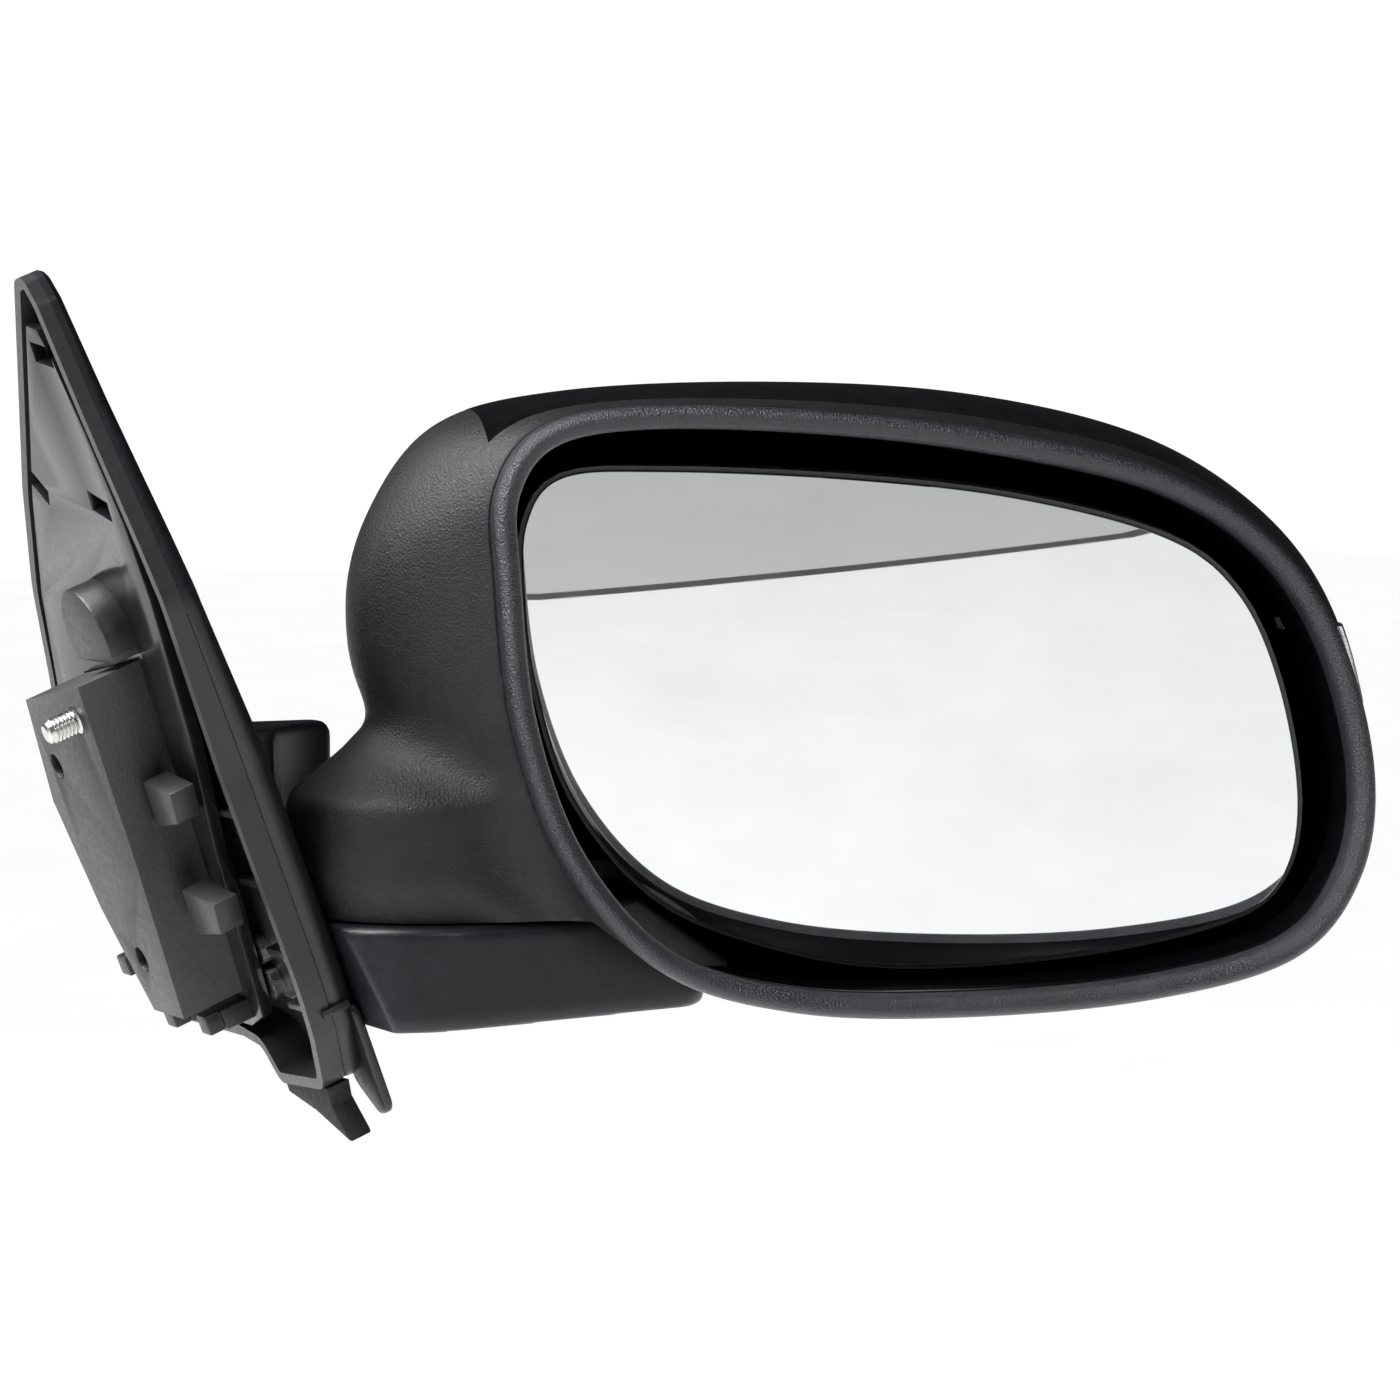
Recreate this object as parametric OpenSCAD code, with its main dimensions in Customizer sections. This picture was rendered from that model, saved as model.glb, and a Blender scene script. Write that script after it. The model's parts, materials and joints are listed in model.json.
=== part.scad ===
// Car side mirror for the passenger's side: a sail on the door, a foot, and a head that folds.
// Row frame: X points outboard, Y forwards in the car's direction, Z up.
// The origin lies on the sail's door face, which leans inboard at the top.

/* [Sail] */
// Lean of the sail plane from the vertical, in degrees
sail_lean = 22; // [20:1:24]
// Thickness of the sail cover, from its door side to its outer face
sail_t = 13; // [12:0.5:14]
// Wall thickness of the sail cover
sail_wall = 2.8; // [2.4:0.2:3.2]
// Thickness of the panel that seats on the door
plate_t = 3; // [2.5:0.5:3]
// How far the bracket stands out on the door side
bracket_out = 16; // [14:1:18]
// Radius of the mounting stud
stud_r = 3; // [3:0.5:4]
// Free length of the stud past the bracket
stud_len = 8; // [8:1:14]
// Radius of the bracket's screw holes
door_hole_r = 3.3; // [3.3:0.1:3.6]

/* [Foot and fold pivot] */
// Distance of the fold pivot outboard of the origin
pivot_x = 54; // [53:0.5:55]
// Distance of the fold pivot forwards of the origin
pivot_y = -27; // [-28:0.5:-26]
// Height of the seam between the foot and the head
seam_z = -26; // [-26.5:0.5:-25.5]
// Gap at the seam
seam_gap = 0.5; // [0.4:0.1:0.7]
// Lowest height of the foot
foot_z = -50.5; // [-51:0.5:-50]
// Radius of the foot's rounded outboard end
foot_r = 65; // [64:0.5:65.5]
// Radius at which the foot's top starts to fall away
foot_shoulder_r = 45; // [44:0.5:46]
// Height of the foot's top at its outboard end
foot_end_z = -43; // [-43:0.5:-42]
// Radius of the head's knuckle over the pivot
knuckle_r = 33; // [32:0.5:33]
// Outer radius of the hollow pivot post
post_r = 9; // [8.5:0.5:9]

/* [Head] */
// Yaw of the head towards the driver, in degrees
head_yaw = 15; // [14:0.5:16]
// Wall thickness of the head's shells
wall = 2.6; // [2.4:0.2:3]
// Width of the rim's rounded bead
bead_w = 5.5; // [5:0.25:6]
// Depth of the rim's rounded bead
bead_d = 8; // [7.5:0.5:8]
// Depth at which the head is widest
mid_d = 45; // [43:1:47]
// Depth of the head from the rim to its front
back_d = 98; // [94:1:100]
// Gap between the skull cap and the housing
cap_gap = 0.6; // [0.5:0.1:0.8]

/* [Glass and actuator] */
// Tilt of the glass at rest, facing down, in degrees
tilt_rest = 8; // [7:0.5:8.5]
// Pan of the glass at rest, facing the driver, in degrees
pan_rest = 6; // [5:0.5:7]
// Radius of the convex glass
glass_radius = 1400; // [1200:50:1600]
// Thickness of the glass
glass_t = 2.2; // [2:0.2:2.4]
// Distance of the jacks from the glass pivot
jack_offset = 28; // [27.5:0.5:28.5]
// Radius of the jack screws
jack_r = 3; // [2.8:0.1:3]
// Teeth on each jack gear
gear_teeth = 24; // [20:2:28]

/* [Hidden] */
$fn = 64;
pivot = [pivot_x, pivot_y, 0];
// Centre of the rim plane
head_at = [143, -98, 20];
// Glass pivot in the head's own frame: across, depth, up
glass_pivot = [8, 34, 0];
// The glass stands this far in front of its pivot
glass_front = 15;
steps = 4;

// Outlines are (across, up) control points, clockwise from the inboard edge as the driver sees them
rim_points = [
  [-94, 34], [-94, 54], [-84, 68], [-62, 73], [-20, 72], [23, 67], [62, 58], [88, 43], [105, 20],
  [114, -12], [111, -38], [95, -57], [60, -66], [15, -69], [-25, -67], [-56, -57], [-78, -33], [-90, -1]];
mid_points = [
  [-123, 24], [-118, 47], [-102, 68], [-72, 76], [-22, 78], [26, 75], [68, 65], [97, 47], [114, 24],
  [121, -6], [116, -34], [98, -53], [62, -62], [15, -66], [-28, -65], [-62, -54], [-92, -32], [-117, 0]];
glass_points = [
  [-83, 28], [-83, 46], [-75, 57], [-52, 59], [-10, 58], [30, 54], [66, 45], [84, 32], [95, 10],
  [101, -18], [98, -37], [85, -47], [50, -55], [5, -58], [-28, -52], [-52, -41], [-71, -18], [-80, 8]];
bowl_centre = [0, 4];
// Sail outline: (forward, up along the lean), clockwise from the top of the rear edge
sail_points = [
  [-43, 125], [-40, 132], [-34, 131], [-4, 101], [18, 79], [40, 53], [54, 29], [70, 4], [76, -20], [73, -31],
  [61, -46], [51, -64], [14, -63.5], [4, -65], [0, -74], [-29, -72], [-36, -58], [-39, -45], [-41, -20], [-43, 8],
  [-50, 52], [-49, 66], [-45, 100]];
plate_points = [
  [-38.5, 112], [-36, 119], [-30, 120], [-8, 98], [14, 76], [35, 51], [50, 27], [65, 3], [71, -20], [68, -29],
  [56, -44], [47, -59.5], [5, -59.5], [-5, -56], [-10, -38], [-18, -11], [-31, 18], [-41, 53], [-43.5, 72],
  [-41.5, 95]];
bracket_points = [[-17, 37], [26, 31], [36, 4], [32, -24], [22, -50], [2, -50], [-8, -10]];
// Flange of the bracket, hidden inside the sail
flange_points = [[-33, -34], [-24, 6], [-8, 18], [30, 18], [42, -8], [32, -52], [-33, -54]];
// Depth of the flange's door side
flange_low = 6.4;
stud_at = [-6, 28];
// Holes for the two screws that come through the door
door_screw_places = [[22, 14], [16, -36]];
bracket_screw_places = [[-28, -40], [-7, -40], [-28, -49], [-7, -49]];
clip_places = [[6, -54.5], [30, -55.5], [50, -44]];
grommet_at = [44, -12];
// Slots for the trim clips: forward, up, angle
plate_slots = [[-33, 113, 8], [6, 80, 38], [-32, 76, 15]];
// Screws that hold the actuator to the carrier, from the glass pivot: (across, up)
frame_screw_places = [[-35, 35], [35, 35], [-35, -35], [35, -35]];

// ---- Curves and lofts ----

function unit(v) = v / norm(v);
function curve_at(a, b, c, d, t) =
  0.5 * (2 * b + (c - a) * t + (2 * a - 5 * b + 4 * c - d) * t * t + (3 * b - a - 3 * c + d) * t * t * t);
function closed_curve(p, k = steps) =
  let (n = len(p))
  [for (i = [0:n - 1], s = [0:k - 1]) curve_at(p[(i + n - 1) % n], p[i], p[(i + 1) % n], p[(i + 2) % n], s / k)];
function inward(c, i) =
  let (n = len(c), t = unit(c[(i + 1) % n] - c[(i + n - 1) % n]))
  [t[1], -t[0]];
function inset(c, by) = [for (i = [0:len(c) - 1]) c[i] + by * inward(c, i)];
function mix(a, b, t) = [for (i = [0:len(a) - 1]) a[i] * (1 - t) + b[i] * t];
function at_depth(ring, d) = [for (p = ring) [p[0], d, p[1]]];

// Solid through closed rings of equal count, the first ring nearest the driver
module loft(rings) {
  n = len(rings[0]);
  k = len(rings);
  sides = [for (r = [0:k - 2], i = [0:n - 1], h = [0:1])
    let (j = (i + 1) % n)
    h == 0 ? [r * n + i, (r + 1) * n + i, (r + 1) * n + j] : [r * n + i, (r + 1) * n + j, r * n + j]];
  first = [[for (i = [0:n - 1]) i]];
  last = [[for (i = [n - 1:-1:0]) (k - 1) * n + i]];
  polyhedron(points = [for (r = rings) each r], faces = concat(sides, first, last), convexity = 6);
}

// Closed ring whose section, (inset, depth) points, follows an outline
module ring_sweep(outline, section) {
  n = len(outline);
  m = len(section);
  points = [for (i = [0:n - 1], s = section)
    let (p = outline[i] + s[0] * inward(outline, i))
    [p[0], s[1], p[1]]];
  faces = [for (i = [0:n - 1], j = [0:m - 1], h = [0:1])
    let (i2 = (i + 1) % n, j2 = (j + 1) % m)
    h == 0 ? [i * m + j2, i * m + j, i2 * m + j] : [i * m + j2, i2 * m + j, i2 * m + j2]];
  polyhedron(points = points, faces = faces, convexity = 8);
}

// Round wire wound as a compression spring
module coil(mean_r, wire_r, height, turns, per_turn = 20, sides = 8) {
  count = turns * per_turn;
  points = [for (k = [0:count], j = [0:sides - 1])
    let (a = 360 * k / per_turn, b = 360 * j / sides, r = mean_r + wire_r * cos(b))
    [r * cos(a), r * sin(a), wire_r + (height - 2 * wire_r) * k / count + wire_r * sin(b)]];
  walls = [for (k = [0:count - 1], j = [0:sides - 1], h = [0:1])
    let (j2 = (j + 1) % sides)
    h == 0 ? [k * sides + j, (k + 1) * sides + j, (k + 1) * sides + j2]
           : [k * sides + j, (k + 1) * sides + j2, k * sides + j2]];
  start = [[for (j = [0:sides - 1]) j]];
  end = [[for (j = [sides - 1:-1:0]) count * sides + j]];
  polyhedron(points = points, faces = concat(walls, start, end), convexity = 10);
}

// ---- Frames ----

// Along the leaning sail: X out of the door, Y forwards, Z up the lean
module sail_frame() { rotate([0, -sail_lean, 0]) children(); }
// Draws a (forward, up) shape from one height over the door face to another
module on_sail(low, high) { sail_frame() translate([low, 0, 0]) rotate([90, 0, 90]) linear_extrude(high - low) children(); }
// The head: X across, Y deeper into the head, Z up
function head_xy(across, deep) = [
  head_at[0] + across * cos(head_yaw) + deep * sin(head_yaw),
  head_at[1] - across * sin(head_yaw) + deep * cos(head_yaw)];
module head_frame_of() { translate(head_at) rotate([0, 0, -head_yaw]) children(); }
// Draws an (across, up) shape from one depth to another
module at_depths(low, high) { translate([0, high, 0]) rotate([90, 0, 0]) linear_extrude(high - low) children(); }
// The actuator: at the glass pivot, square to the head
module pivot_frame() { head_frame_of() translate(glass_pivot) children(); }
module gimbal_frame() { pivot_frame() rotate([tilt_rest, 0, 0]) children(); }
module glass_frame() { gimbal_frame() rotate([0, 0, -pan_rest]) children(); }
// Cylinder along depth
module rod_y(r, low, high) { translate([0, high, 0]) rotate([90, 0, 0]) cylinder(r = r, h = high - low); }
module rod_x(r, low, high) { translate([low, 0, 0]) rotate([0, 90, 0]) cylinder(r = r, h = high - low); }
module rod_z(r, low, high) { translate([0, 0, low]) cylinder(r = r, h = high - low); }
module block(low, high) { translate(low) cube(high - low); }

// ---- Door side ----

module sail_cover() {
  color("#2b2a30") difference() {
    intersection() {
      union() {
        on_sail(0, sail_t) polygon(sail_points);
        // Lip that curls down past the belt line
        on_sail(sail_t - sail_wall, sail_t) polygon([[-38, -52], [-35, -83], [-29, -84], [-20, -76], [-20, -60]]);
      }
      under_skin(0);
    }
    intersection() {
      on_sail(-1, sail_t) polygon(inset(sail_points, sail_wall));
      under_skin(sail_wall);
    }
    foot_neck(0.4);
  }
}

// Everything below the sail's outer face, which comes closer to the door towards the top
module under_skin(by) {
  t = sail_t - by;
  sail_frame() translate([0, 150, 0]) rotate([90, 0, 0]) linear_extrude(300)
    polygon([[-5, -100], [t, -100], [t, 15], [t - 3.2, 45], [t - 5, 90], [t - 6.5, 140], [-5, 140]]);
}

module base_plate() {
  color("#55555a") difference() {
    on_sail(0, plate_t) polygon(plate_points);
    on_sail(-1, plate_t + 1) polygon(inset(bracket_points, -0.4));
    for (p = plate_slots) {
      on_sail(-1, plate_t + 1) translate([p[0], p[1]]) rotate(p[2]) square([11, 5], center = true);
    }
    // Holes for the cable grommet, the arched tab and the retaining clips
    on_sail(-1, plate_t + 1) translate(grommet_at) circle(r = 8.05);
    on_sail(-1, plate_t + 1) arch_outline(0.1);
    for (p = clip_places) on_sail(-1, plate_t + 1) translate(p) square([9.2, 5.2], center = true);
  }
}

module base_bracket() {
  top = sail_t - sail_wall - 0.3;
  color("#1d1d1f") difference() {
    union() {
      on_sail(-bracket_out, flange_low + 1) polygon(bracket_points);
      on_sail(flange_low, top) polygon(flange_points);
    }
    // Lightening pocket, open on the inner side of the sail
    on_sail(-bracket_out + 4, sail_t) polygon(inset(bracket_points, 4));
    on_sail(-bracket_out - 1, 0) translate(stud_at) circle(r = stud_r + 0.5);
    for (p = door_screw_places) on_sail(-bracket_out - 1, 0) translate(p) circle(r = door_hole_r);
    for (p = bracket_screw_places) on_sail(0, sail_t) translate(p) circle(r = 2.2);
  }
}

// Stud with a knurled shank in the bracket and a hexagonal head behind it
module mounting_stud() {
  color("#b9bbb8") {
    on_sail(-bracket_out - stud_len, -bracket_out) translate(stud_at) circle(r = stud_r);
    on_sail(-bracket_out, -bracket_out + 4.05) translate(stud_at) circle(r = stud_r + 0.45);
    on_sail(-bracket_out + 4.05, -bracket_out + 7) translate(stud_at) circle(r = 4.6, $fn = 6);
  }
}

// Screws from the bracket into the foot
module bracket_screws() {
  color("#8d8f90") for (p = bracket_screw_places) {
    on_sail(flange_low - 2.6, flange_low - 0.05) translate(p) circle(r = 3.8);
    on_sail(flange_low - 0.05, sail_t) translate(p) circle(r = 2);
  }
}

module bracket_clips() {
  color("#1a1a1c") for (s = [4, -24]) {
    on_sail(-9, -2.5) polygon([[-30, s + 4], [-14 + 0.1 * (4 - s), s + 6], [-12 + 0.1 * (4 - s), s - 6], [-27, s - 4]]);
  }
}

module arch_outline(grow) {
  difference() {
    translate([-8, 44]) circle(r = 13 + grow);
    translate([-40, 0]) square([80, 38.8 - grow]);
  }
}

module arch_tab() { color("#161618") on_sail(-7, plate_t + 0.1) arch_outline(0); }

module retaining_clips() {
  color("#1a1a1c") for (p = clip_places) {
    on_sail(-7, plate_t + 0.1) translate(p) square([9, 5], center = true);
    on_sail(-11, -7) translate(p) square([6, 5], center = true);
  }
}

module belt_seal() {
  color("#131313") on_sail(1, 7)
    polygon([[-28.5, -72.1], [0, -74.05], [0.5, -77], [-14, -80], [-30, -86], [-26, -77]]);
}

module cable_grommet() {
  color("#151515") difference() {
    union() {
      on_sail(-2, plate_t + 2) translate(grommet_at) circle(r = 8);
      on_sail(-9, -2) translate(grommet_at) circle(r = 6);
    }
    on_sail(-10, plate_t + 3) translate(grommet_at) circle(r = 3.6);
  }
}

// ---- Foot ----

// Outline of the foot from above, inset by a wall
module foot_plan(by) {
  intersection() {
    translate([pivot_x, pivot_y]) circle(r = foot_r - by);
    union() {
      translate([pivot_x, pivot_y]) circle(r = knuckle_r - by);
      translate([pivot_x, pivot_y - knuckle_r + by]) square([100, 2 * knuckle_r - 2 * by]);
      translate([-20, -35 + by]) square([pivot_x + 20, pivot_y + knuckle_r + 35 - 2 * by]);
    }
  }
}

// Everything over the foot's underside, which rises a little outboard
module over_floor(low, high) {
  translate([33, 0, -51.5]) rotate([0, -2.4, 0]) block([-80, -150, low], [150, 150, high]);
}

// The foot's form turned about the pivot, inset by a wall
module foot_envelope(by) {
  top = seam_z - seam_gap - by;
  translate(pivot) rotate_extrude($fn = 96) polygon([
    [0, foot_z - 5], [120, foot_z - 5], [120, foot_end_z - by], [foot_r, foot_end_z - by], [foot_shoulder_r, top], [0, top]]);
}

// Everything outboard of a height over the door face
module outside_of(n) { sail_frame() translate([n, -150, -200]) cube([300, 300, 400]); }

// The stub that carries the foot through the sail cover to the bracket
module foot_neck(grow) {
  intersection() {
    block([-20, -34 - grow, foot_z + 6 - grow], [60, -1 + grow, seam_z - 1.5 + grow]);
    sail_frame() translate([sail_t - sail_wall - 0.2, -150, -200]) cube([sail_wall + 0.8, 300, 400]);
  }
}

module foot_arm() {
  top = seam_z - seam_gap;
  color("#222126") difference() {
    union() {
      intersection() {
        translate([0, 0, foot_z - 5]) linear_extrude(top - foot_z + 5) foot_plan(0);
        outside_of(sail_t + 0.05);
        foot_envelope(0);
        over_floor(0, 200);
      }
      // Tower round the inboard side of the knuckle
      intersection() {
        difference() {
          block([-20, -14, foot_z + 4], [pivot_x - 10, pivot_y + 42, 17]);
          translate([pivot_x, pivot_y, top]) cylinder(r = knuckle_r + 2.5, h = 100, $fn = 96);
        }
        outside_of(sail_t + 0.05);
        translate([pivot_x, pivot_y, foot_z - 5]) cylinder(r = 62, h = 100, $fn = 96);
      }
      foot_neck(0);
    }
    // Hollow underside
    intersection() {
      translate([0, 0, foot_z - 5]) linear_extrude(top - 3 - foot_z + 5) foot_plan(3);
      outside_of(sail_t + 4);
      foot_envelope(3);
    }
    // Bore for the post and three screw holes
    translate([pivot_x, pivot_y, foot_z - 5]) cylinder(r = post_r + 0.1, h = 60);
    for (a = [30, 150, 270]) {
      translate([pivot_x, pivot_y, foot_z - 5]) rotate(a) translate([15.5, 0, 0]) cylinder(r = 1.6, h = 60);
    }
    for (p = bracket_screw_places) on_sail(0, sail_t + 2) translate(p) circle(r = 2.05);
  }
}

module foot_bottom_cover() {
  color("#1c1c1f") intersection() {
    translate([0, 0, foot_z - 5]) linear_extrude(20) foot_plan(3.3);
    outside_of(sail_t + 4.3);
    over_floor(0.2, 2.6);
  }
}

module pivot_post() {
  low = seam_z - seam_gap - 3 - 4.05;
  color("#a9abad") translate(pivot) difference() {
    union() {
      rod_z(20, low, low + 4);
      rod_z(post_r, low, 9);
    }
    rod_z(post_r - 2.5, low - 1, 10);
    for (a = [30, 150, 270]) rotate(a) translate([15.5, 0, 0]) rod_z(1.6, low - 1, low + 5);
  }
}

module post_screws() {
  low = seam_z - seam_gap - 3 - 4.05;
  color("#7d7f82") translate(pivot) for (a = [30, 150, 270]) rotate(a) translate([15.5, 0, 0]) {
    rod_z(1.55, low - 0.1, seam_z - seam_gap - 0.2);
    rod_z(3.1, low - 2.6, low - 0.1);
  }
}

module lower_detent_ring() {
  low = seam_z - seam_gap;
  color("#8f8f8a") translate(pivot) difference() {
    rod_z(24, low + 0.02, low + 3.8);
    rod_z(post_r + 0.2, low - 1, low + 5);
    // Grooves that hold the driving position
    for (a = [20, 140, 260]) rotate(a) translate([0, 0, low + 4.6]) rotate([0, 90, 0]) cylinder(r = 2.2, h = 30);
  }
}

module upper_detent_ring() {
  low = seam_z - seam_gap + 4.6;
  color("#9a9a95") translate(pivot) difference() {
    union() {
      rod_z(24, low, low + 2.5);
      intersection() {
        rod_z(24, low - 0.4, low + 1);
        for (a = [20, 140, 260]) rotate(a) translate([13, -2, low - 0.4]) cube([11, 4, 1]);
      }
    }
    rod_z(11.3, low - 1, low + 4);
  }
}

module fold_spring() {
  color("#6d6f70") translate([pivot_x, pivot_y, -14.4]) coil(13.2, 1.3, 20, 5);
}

module spring_retainer() {
  color("#a0a2a4") translate(pivot) difference() {
    rod_z(15, 5.65, 8);
    rod_z(post_r + 0.02, 5, 9);
  }
}

// ---- Head: carrier ----

module hub_bush() {
  color("#c7b98a") translate(pivot) difference() {
    rod_z(11.25, -21.8, 5);
    rod_z(post_r + 0.06, -23, 6);
  }
}

module head_frame() {
  color("#3a3b3d") difference() {
    union() {
      // Hub flange on the detent ring
      translate(pivot) rod_z(26, -19.35, -15);
      // Arm to the plate behind the actuator
      translate([0, 0, -19.35]) linear_extrude(4.35)
        polygon([[pivot_x, pivot_y - 20], [pivot_x, pivot_y + 20], head_xy(-40, 71.9), head_xy(-40, 60)]);
      head_frame_of() block([-44, 68, -46], [60, 72, 46]);
      // Feet that stand on the housing's floor
      for (x = [2, 46]) head_frame_of() block([x - 6, 64, -52], [x + 6, 72, -45]);
    }
    translate(pivot) rod_z(11.3, -30, 10);
    // Windows that lighten the plate
    for (x = [-30, 30]) head_frame_of() block([x - 6 + 8, 60, -26], [x + 6 + 8, 80, 30]);
    for (p = frame_screw_places) {
      head_frame_of() translate([glass_pivot[0] + p[0], 0, p[1]]) rod_y(2.1, 60, 80);
    }
  }
}

module frame_screws() {
  color("#8a8c8e") for (p = frame_screw_places) {
    head_frame_of() translate([glass_pivot[0] + p[0], 0, p[1]]) {
      rod_y(2, 60.5, 72);
      rod_y(3.8, 72.05, 75);
    }
  }
}

// ---- Head: shells ----

rim = closed_curve(rim_points);
mid = closed_curve(mid_points);

// Ring of the head's outer form, part way from the rim to the widest section
function flank_ring(t) = mix(rim, mid, sin(90 * t));
// Ring of the rounded front
function bowl_ring(t) =
  let (f = pow(1 - pow(t, 2.4), 1 / 2.4))
  [for (p = mid) bowl_centre + (p - bowl_centre) * f];
flank_steps = [0, 0.12, 0.28, 0.48, 0.72, 1];
bowl_steps = [0.2, 0.38, 0.54, 0.68, 0.8, 0.9, 0.96, 0.99];

// The head's form, inset by a wall, starting at a depth
module head_form(by, start_d) {
  front = [for (t = flank_steps) at_depth(inset(flank_ring(t), by), start_d + (mid_d - start_d) * t)];
  back = [for (t = bowl_steps) at_depth(inset(bowl_ring(t), by), mid_d + (back_d - by - mid_d) * t)];
  head_frame_of() loft(concat(front, back));
}

// Distance from the fold axis to the sail's outer face, with a running gap, at a height
function sail_reach(z) = pivot_x - (sail_t + 0.6 - z * sin(sail_lean)) / cos(sail_lean);
// Bearings of the knuckle that pass the sail as the head folds, in degrees
fold_bearings = [115, 255];
// What the leaning sail leaves for the knuckle, whichever way the head is folded
module clear_of_sail(by) {
  far = 150;
  hull() for (z = [seam_z - 10, seam_z + 90]) {
    r = sail_reach(z) - by;
    a = fold_bearings[0];
    b = fold_bearings[1];
    translate([pivot_x, pivot_y, z]) linear_extrude(0.01) polygon(concat(
      [for (k = [0:14]) let (t = a + (b - a) * k / 14) r * [cos(t), sin(t)]],
      [r * [cos(b), sin(b)] + far * [-sin(b), cos(b)], r * [cos(a), sin(a)] + far * [sin(a), -cos(a)]]));
  }
}

// The arm that carries the head on its pivot
module arm_form(by) {
  low = seam_z + by - 4;
  intersection() {
    hull() {
      translate([pivot_x, pivot_y, low]) cylinder(r = knuckle_r - by, h = 2 - low, $fn = 48);
      translate([pivot_x, pivot_y, low]) cylinder(r = 20 - by, h = 15 - by - low, $fn = 48);
      translate([pivot_x + 44, pivot_y - 8, low]) cylinder(r = 24 - by, h = -6 - low, $fn = 32);
    }
    clear_of_sail(by);
  }
}

// What the foot's end sweeps through as the head folds
module foot_sweep(grow) {
  r = foot_r + 3 + grow;
  translate(pivot) rotate_extrude($fn = 96) polygon([
    [0, -150], [r, -150], [r, foot_end_z + 2 + grow], [foot_shoulder_r + 2 + grow, seam_z + grow], [0, seam_z + grow]]);
}

module head_solid(by, start_d) {
  difference() {
    union() {
      head_form(by, start_d);
      arm_form(by);
    }
    foot_sweep(by);
  }
}

// The part of the head's skin that the skull cap covers
module cap_region(gap) {
  head_frame_of() translate([-94 - gap, 0, 0]) rotate([90, 0, 90]) linear_extrude(300)
    polygon([[16 - gap, 120], [16 - gap, -4 - gap], [120, -4 - gap], [120, 120]]);
}

module lens_region(gap) {
  head_frame_of() block([86 - gap, 20 - gap, 2 - gap], [140, 64 + gap, 20 + gap]);
}

// Zero sizes leave the shape as it is and let the mesh engine join the shells
module head_housing() {
  color("#26262a") resize([0, 0, 0]) difference() {
    head_solid(0, bead_d + 0.2);
    head_solid(wall, bead_d - 1);
    cap_region(cap_gap);
    translate(pivot) rod_z(27, seam_z - 1, seam_z + 10);
  }
}

module skull_cap() {
  color("#0c0c0e") resize([0, 0, 0]) difference() {
    intersection() {
      head_form(0, bead_d + 0.2);
      cap_region(0);
    }
    head_form(wall, bead_d - 1);
    lens_region(0.4);
  }
}

module signal_lens() {
  color("#d9dde0") resize([0, 0, 0]) difference() {
    intersection() {
      head_form(0.2, bead_d + 0.2);
      lens_region(0);
    }
    head_form(wall, bead_d - 1);
  }
}

module rim_bezel() {
  section = [[0, bead_d], [0, 3.5], [0.8, 1.2], [bead_w / 2, 0], [bead_w - 0.9, 1], [bead_w, 3], [bead_w, bead_d]];
  color("#323138") head_frame_of() ring_sweep(rim, section);
}

// The funnel is trimmed to the room inside the housing's wall
module inner_funnel() {
  low = bead_d + 0.1;
  section = [[3.2, low], [3.8, 13], [4.7, 18], [5.45, 24], [6.25, 24], [6, 18], [5.8, 13], [bead_w, low]];
  color("#0b0b0d") resize([0, 0, 0]) intersection() {
    head_frame_of() ring_sweep(rim, [for (i = [7:-1:0]) section[i]]);
    head_solid(wall + 0.15, bead_d - 1);
  }
}

// ---- Head: turn signal ----

module signal_housing() {
  color("#c9ccce") head_frame_of() difference() {
    block([104.5, 30, 4], [110.5, 58, 18]);
    block([106, 32, 5.5], [112, 56, 16.5]);
  }
}

module signal_board() {
  color("#2f6a3a") head_frame_of() block([106.1, 32.5, 6], [107.1, 55.5, 16]);
}

module signal_leds() {
  color("#f0e6c0") head_frame_of() for (d = [36, 44, 52]) block([107.2, d - 1.7, 9.3], [108.6, d + 1.7, 12.7]);
}

// ---- Actuator ----

// Gear and worm places, from the glass pivot: (across, up)
gear_depth = 14;
gear_r = 8;
worm_r = 2.6;
worm_off = gear_r + worm_r + 0.2;
tilt_at = [0, -jack_offset];
pan_at = [jack_offset, 0];

module actuator_base() {
  color("#e3e2dc") pivot_frame() difference() {
    at_depths(10.2, 33.8) case_square(44);
    at_depths(9, 31.5) case_square(42);
    for (p = frame_screw_places) translate([p[0], 0, p[1]]) rod_y(2.05, 30, 40);
    // Clearance behind the jacks
    for (p = [tilt_at, pan_at]) translate([p[0], 0, p[1]]) rod_y(jack_r + 0.6, 30, 40);
  }
}

// Square with cut corners, the actuator's outline
module case_square(half) {
  cut = 8;
  polygon([
    [-half, half - cut], [-half + cut, half], [half - cut, half], [half, half - cut],
    [half, -half + cut], [half - cut, -half], [-half + cut, -half], [-half, -half + cut]]);
}

module actuator_cover() {
  color("#d8d7d0") pivot_frame() difference() {
    union() {
      at_depths(8.2, 10) case_square(44);
      // Two ears that carry the gimbal's tilt pins
      for (side = [-1, 1]) translate([side * 17.5, 0, 0]) block([-1.5, -3.6, -3.6], [1.5, 8.3, 3.6]);
    }
    rod_x(2.06, -25, 25);
    for (p = [tilt_at, pan_at]) translate([p[0], 0, p[1]]) rod_y(jack_r + 0.6, 0, 20);
    for (p = [[-34, 34], [34, 34], [-34, -34], [34, -34]]) translate([p[0], 0, p[1]]) rod_y(1.3, 0, 20);
  }
}

module actuator_screws() {
  color("#9a9c9e") pivot_frame() for (p = [[-34, 34], [34, 34], [-34, -34], [34, -34]]) {
    translate([p[0], 0, p[1]]) {
      rod_y(1.25, 8.1, 15);
      rod_y(2.6, 6.6, 8.15);
    }
  }
}

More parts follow.
